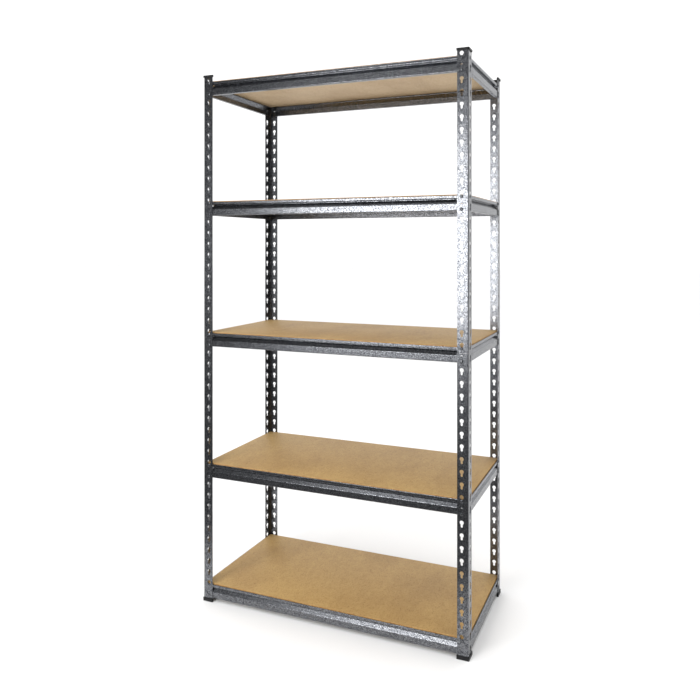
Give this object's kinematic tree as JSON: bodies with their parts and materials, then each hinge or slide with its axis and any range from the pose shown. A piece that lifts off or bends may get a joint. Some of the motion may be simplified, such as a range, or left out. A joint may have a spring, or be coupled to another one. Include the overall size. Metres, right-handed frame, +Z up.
{
  "type": "boltless shelving unit",
  "caption": "Free-standing boltless rivet shelving: keyhole angle posts in two halves, hooked-in beams on every tier, loose lift-out boards, plastic caps and feet.",
  "frame": {"origin": "on the floor under the centre of the unit's box", "axes": "+X to the right along the long beams, +Y to the rear, +Z up"},
  "size_m": [0.945, 0.425, 1.8065],
  "materials": {
    "post_paint": "glossy hammered grey enamel",
    "beam_paint": "glossy hammered grey enamel",
    "rivet_steel": "grey enamel over steel",
    "fibre_board": "raw pressed fibre board",
    "black_plastic": "moulded, fine satin grain"
  },
  "bodies": {
    "root": {"front_left_upper_post": "post_paint", "front_right_upper_post": "post_paint", "rear_left_upper_post": "post_paint", "rear_right_upper_post": "post_paint", "front_left_lower_post": "post_paint", "front_right_lower_post": "post_paint", "rear_left_lower_post": "post_paint", "rear_right_lower_post": "post_paint", "front_left_cap": "black_plastic", "front_right_cap": "black_plastic", "rear_left_cap": "black_plastic", "rear_right_cap": "black_plastic", "front_left_foot": "black_plastic", "front_right_foot": "black_plastic", "rear_left_foot": "black_plastic", "rear_right_foot": "black_plastic"},
    "shelf_1_frame": {"shelf_1_front_beam": "beam_paint", "shelf_1_rear_beam": "beam_paint", "shelf_1_left_beam": "beam_paint", "shelf_1_right_beam": "beam_paint", "shelf_1_long_beam_rivets": "rivet_steel", "shelf_1_side_beam_rivets": "rivet_steel"},
    "shelf_1_deck": {"shelf_1_board": "fibre_board"},
    "shelf_2_frame": {"shelf_2_front_beam": "beam_paint", "shelf_2_rear_beam": "beam_paint", "shelf_2_left_beam": "beam_paint", "shelf_2_right_beam": "beam_paint", "shelf_2_long_beam_rivets": "rivet_steel", "shelf_2_side_beam_rivets": "rivet_steel"},
    "shelf_2_deck": {"shelf_2_board": "fibre_board"},
    "shelf_3_frame": {"shelf_3_front_beam": "beam_paint", "shelf_3_rear_beam": "beam_paint", "shelf_3_left_beam": "beam_paint", "shelf_3_right_beam": "beam_paint", "shelf_3_long_beam_rivets": "rivet_steel", "shelf_3_side_beam_rivets": "rivet_steel"},
    "shelf_3_deck": {"shelf_3_board": "fibre_board"},
    "shelf_4_frame": {"shelf_4_front_beam": "beam_paint", "shelf_4_rear_beam": "beam_paint", "shelf_4_left_beam": "beam_paint", "shelf_4_right_beam": "beam_paint", "shelf_4_long_beam_rivets": "rivet_steel", "shelf_4_side_beam_rivets": "rivet_steel"},
    "shelf_4_deck": {"shelf_4_board": "fibre_board"},
    "shelf_5_frame": {"shelf_5_front_beam": "beam_paint", "shelf_5_rear_beam": "beam_paint", "shelf_5_left_beam": "beam_paint", "shelf_5_right_beam": "beam_paint", "shelf_5_long_beam_rivets": "rivet_steel", "shelf_5_side_beam_rivets": "rivet_steel"},
    "shelf_5_deck": {"shelf_5_board": "fibre_board"}
  },
  "joints": [
    {"name": "shelf_1_frame_lift", "type": "slide", "parent": "root", "child": "shelf_1_frame", "axis": [0, 0, 1], "range_m": [0, 0.012]},
    {"name": "shelf_1_board_lift", "type": "slide", "parent": "shelf_1_frame", "child": "shelf_1_deck", "axis": [0, 0, 1], "range_m": [0, 0.34]},
    {"name": "shelf_2_frame_lift", "type": "slide", "parent": "root", "child": "shelf_2_frame", "axis": [0, 0, 1], "range_m": [0, 0.012]},
    {"name": "shelf_2_board_lift", "type": "slide", "parent": "shelf_2_frame", "child": "shelf_2_deck", "axis": [0, 0, 1], "range_m": [0, 0.375]},
    {"name": "shelf_3_frame_lift", "type": "slide", "parent": "root", "child": "shelf_3_frame", "axis": [0, 0, 1], "range_m": [0, 0.012]},
    {"name": "shelf_3_board_lift", "type": "slide", "parent": "shelf_3_frame", "child": "shelf_3_deck", "axis": [0, 0, 1], "range_m": [0, 0.375]},
    {"name": "shelf_4_frame_lift", "type": "slide", "parent": "root", "child": "shelf_4_frame", "axis": [0, 0, 1], "range_m": [0, 0.012]},
    {"name": "shelf_4_board_lift", "type": "slide", "parent": "shelf_4_frame", "child": "shelf_4_deck", "axis": [0, 0, 1], "range_m": [0, 0.34]},
    {"name": "shelf_5_frame_lift", "type": "slide", "parent": "root", "child": "shelf_5_frame", "axis": [0, 0, 1], "range_m": [0, 0.012]},
    {"name": "shelf_5_board_lift", "type": "slide", "parent": "shelf_5_frame", "child": "shelf_5_deck", "axis": [0, 0, 1], "range_m": [0, 0.1]}
  ]
}
